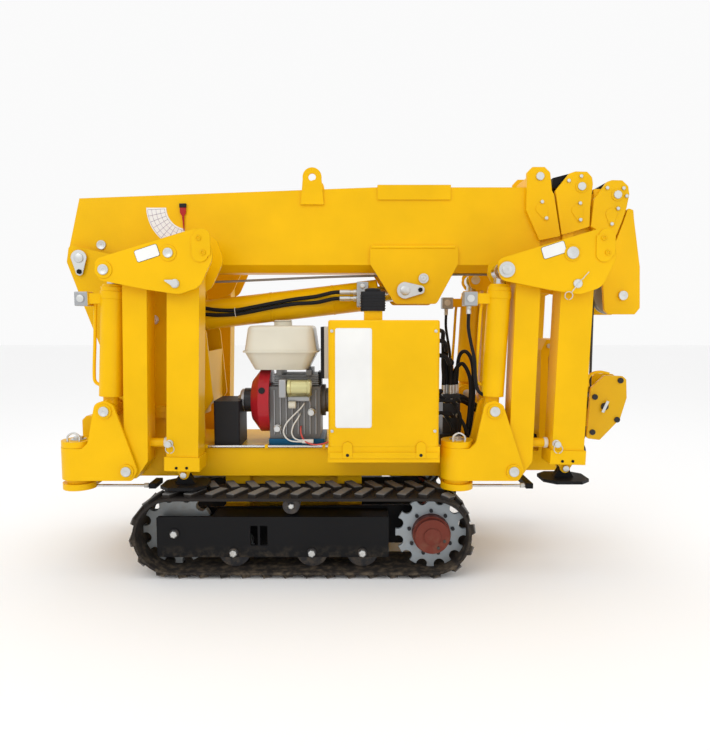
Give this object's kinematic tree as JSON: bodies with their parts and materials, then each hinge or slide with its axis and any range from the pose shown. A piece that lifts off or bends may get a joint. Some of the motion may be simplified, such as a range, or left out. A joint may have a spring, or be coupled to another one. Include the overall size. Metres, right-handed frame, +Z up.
{
  "type": "crawler crane",
  "caption": "Compact crawler crane in folded travel pose, with swing-out stabiliser legs and a telescopic boom",
  "frame": {"origin": "on the ground, at the middle of the machine's length and width", "axes": "+X along the machine to the boom's tip, +Y across it to the far side, +Z up"},
  "size_m": [2.129, 0.722, 1.456],
  "materials": {
    "yellow": "satin",
    "rubber": "matte",
    "dark_steel": "satin",
    "wheel_steel": "satin",
    "chrome": "polished",
    "engine_black": "satin",
    "cream": "gloss",
    "red": "gloss",
    "plastic_black": "matte"
  },
  "bodies": {
    "root": {"chassis_frame": "yellow", "column": "yellow", "track_belt_near": "rubber", "track_belt_far": "rubber", "track_frame_near": "dark_steel", "track_frame_far": "dark_steel", "track_wheels_near": "wheel_steel", "track_wheels_far": "wheel_steel", "sprocket_near": "wheel_steel", "sprocket_far": "wheel_steel", "engine_block": "engine_black", "fan_cover": "red", "fuel_tank": "cream", "air_filter": "cream", "oil_tank": "yellow", "filler_filter": "plastic_black", "valve_bank": "engine_black", "battery_box": "engine_black"},
    "boom": {"boom_base": "yellow"},
    "winch": {"winch_drum": "wheel_steel"},
    "luff_barrel": {"luff_barrel": "yellow"},
    "luff_rod": {"luff_rod": "chrome"},
    "section_second": {"section_second": "yellow"},
    "section_third": {"section_third": "yellow"},
    "section_tip": {"section_tip": "yellow"},
    "head_sheave": {"head_sheave": "wheel_steel"},
    "hook_block": {"hook_block": "yellow"},
    "outrigger_rear_near": {"bracket_rear_near": "yellow", "inner_arm_rear_near": "yellow", "ram_barrel_rear_near": "yellow", "ram_rod_rear_near": "chrome", "outer_arm_rear_near": "yellow", "leg_rear_near": "yellow", "foot_rear_near": "dark_steel"},
    "bracket_front_near": {"bracket_front_near": "yellow"},
    "inner_arm_front_near": {"inner_arm_front_near": "yellow"},
    "ram_barrel_front_near": {"ram_barrel_front_near": "yellow"},
    "ram_rod_front_near": {"ram_rod_front_near": "chrome"},
    "outer_arm_front_near": {"outer_arm_front_near": "yellow"},
    "leg_front_near": {"leg_front_near": "yellow"},
    "foot_front_near": {"foot_front_near": "dark_steel"},
    "outrigger_rear_far": {"bracket_rear_far": "yellow", "inner_arm_rear_far": "yellow", "ram_barrel_rear_far": "yellow", "ram_rod_rear_far": "chrome", "outer_arm_rear_far": "yellow", "leg_rear_far": "yellow", "foot_rear_far": "dark_steel"},
    "bracket_front_far": {"bracket_front_far": "yellow"},
    "inner_arm_front_far": {"inner_arm_front_far": "yellow"},
    "ram_barrel_front_far": {"ram_barrel_front_far": "yellow"},
    "ram_rod_front_far": {"ram_rod_front_far": "chrome"},
    "outer_arm_front_far": {"outer_arm_front_far": "yellow"},
    "leg_front_far": {"leg_front_far": "yellow"},
    "foot_front_far": {"foot_front_far": "dark_steel"}
  },
  "joints": [
    {"name": "luff", "type": "hinge", "parent": "root", "child": "boom", "pos_m": [-1.013, 0, 1.124], "axis": [0, -1, 0], "range_deg": [0, 75]},
    {"name": "luff_barrel_swing", "type": "hinge", "parent": "root", "child": "luff_barrel", "pos_m": [-0.745, 0, 0.898], "axis": [0, -1, 0], "range_deg": [0, 77.4]},
    {"name": "luff_rod_slide", "type": "slide", "parent": "luff_barrel", "child": "luff_rod", "axis": [0.9932, 0, 0.1162], "range_m": [0, 0.429]},
    {"name": "boom_extend", "type": "slide", "parent": "boom", "child": "section_second", "axis": [1, 0, 0], "range_m": [0, 1.1]},
    {"name": "third_extend", "type": "slide", "parent": "section_second", "child": "section_third", "axis": [1, 0, 0], "range_m": [0, 1.1]},
    {"name": "tip_extend", "type": "slide", "parent": "section_third", "child": "section_tip", "axis": [1, 0, 0], "range_m": [0, 1.1]},
    {"name": "head_sheave_turn", "type": "hinge", "parent": "section_tip", "child": "head_sheave", "pos_m": [0.997, 0, 0.988], "axis": [0, 1, 0], "continuous": true},
    {"name": "hook_hang", "type": "hinge", "parent": "section_tip", "child": "hook_block", "pos_m": [0.997, 0, 0.988], "axis": [0, -1, 0], "range_deg": [-75, 0]},
    {"name": "winch_turn", "type": "hinge", "parent": "root", "child": "winch", "pos_m": [-0.87, 0, 0.975], "axis": [0, 1, 0], "continuous": true},
    {"name": "swivel_rear_near", "type": "hinge", "parent": "root", "child": "outrigger_rear_near", "pos_m": [-0.98, -0.272, 0.4], "axis": [0, 0, -1], "range_deg": [0, 135]},
    {"name": "swivel_front_near", "type": "hinge", "parent": "root", "child": "bracket_front_near", "pos_m": [0.362, -0.272, 0.4], "axis": [0, 0, -1], "range_deg": [0, 45]},
    {"name": "arm_front_near", "type": "hinge", "parent": "bracket_front_near", "child": "inner_arm_front_near", "pos_m": [0.55, -0.272, 0.374], "axis": [0, 1, 0], "range_deg": [0, 60]},
    {"name": "ram_swing_front_near", "type": "hinge", "parent": "bracket_front_near", "child": "ram_barrel_front_near", "pos_m": [0.48, -0.272, 0.584], "axis": [0, 1, 0], "range_deg": [0, 72.5]},
    {"name": "ram_slide_front_near", "type": "slide", "parent": "ram_barrel_front_near", "child": "ram_rod_front_near", "axis": [0.052, 0, 0.9986], "range_m": [0, 0.191]},
    {"name": "fold_front_near", "type": "hinge", "parent": "inner_arm_front_near", "child": "outer_arm_front_near", "pos_m": [0.722, -0.272, 1.119], "axis": [0, -1, 0], "range_deg": [0, 118]},
    {"name": "leg_slide_front_near", "type": "slide", "parent": "outer_arm_front_near", "child": "leg_front_near", "axis": [-0.0284, 0, -0.9996], "range_m": [0, 0.2]},
    {"name": "foot_tilt_front_near", "type": "hinge", "parent": "leg_front_near", "child": "foot_front_near", "pos_m": [0.7395, -0.272, 0.378], "axis": [0, 1, 0], "range_deg": [-8, 8]},
    {"name": "swivel_rear_far", "type": "hinge", "parent": "root", "child": "outrigger_rear_far", "pos_m": [-0.98, 0.272, 0.4], "axis": [0, 0, 1], "range_deg": [0, 135]},
    {"name": "swivel_front_far", "type": "hinge", "parent": "root", "child": "bracket_front_far", "pos_m": [0.362, 0.272, 0.4], "axis": [0, 0, 1], "range_deg": [0, 45]},
    {"name": "arm_front_far", "type": "hinge", "parent": "bracket_front_far", "child": "inner_arm_front_far", "pos_m": [0.55, 0.272, 0.374], "axis": [0, 1, 0], "range_deg": [0, 60]},
    {"name": "ram_swing_front_far", "type": "hinge", "parent": "bracket_front_far", "child": "ram_barrel_front_far", "pos_m": [0.48, 0.272, 0.584], "axis": [0, 1, 0], "range_deg": [0, 72.5]},
    {"name": "ram_slide_front_far", "type": "slide", "parent": "ram_barrel_front_far", "child": "ram_rod_front_far", "axis": [0.052, 0, 0.9986], "range_m": [0, 0.191]},
    {"name": "fold_front_far", "type": "hinge", "parent": "inner_arm_front_far", "child": "outer_arm_front_far", "pos_m": [0.722, 0.272, 1.119], "axis": [0, -1, 0], "range_deg": [0, 118]},
    {"name": "leg_slide_front_far", "type": "slide", "parent": "outer_arm_front_far", "child": "leg_front_far", "axis": [-0.0284, 0, -0.9996], "range_m": [0, 0.2]},
    {"name": "foot_tilt_front_far", "type": "hinge", "parent": "leg_front_far", "child": "foot_front_far", "pos_m": [0.7395, 0.272, 0.378], "axis": [0, 1, 0], "range_deg": [-8, 8]}
  ],
  "couplings": [
    {"joint": "luff_barrel_swing", "follows": "luff", "ratio": 1.0237},
    {"joint": "luff_rod_slide", "follows": "luff", "m_per_rad": 0.32497},
    {"joint": "hook_hang", "follows": "luff", "ratio": -1},
    {"joint": "third_extend", "follows": "boom_extend", "ratio": 1},
    {"joint": "tip_extend", "follows": "boom_extend", "ratio": 1},
    {"joint": "ram_swing_front_near", "follows": "arm_front_near", "ratio": 1.1987},
    {"joint": "ram_slide_front_near", "follows": "arm_front_near", "m_per_rad": 0.17901},
    {"joint": "ram_swing_front_far", "follows": "arm_front_far", "ratio": 1.1987},
    {"joint": "ram_slide_front_far", "follows": "arm_front_far", "m_per_rad": 0.17901}
  ]
}
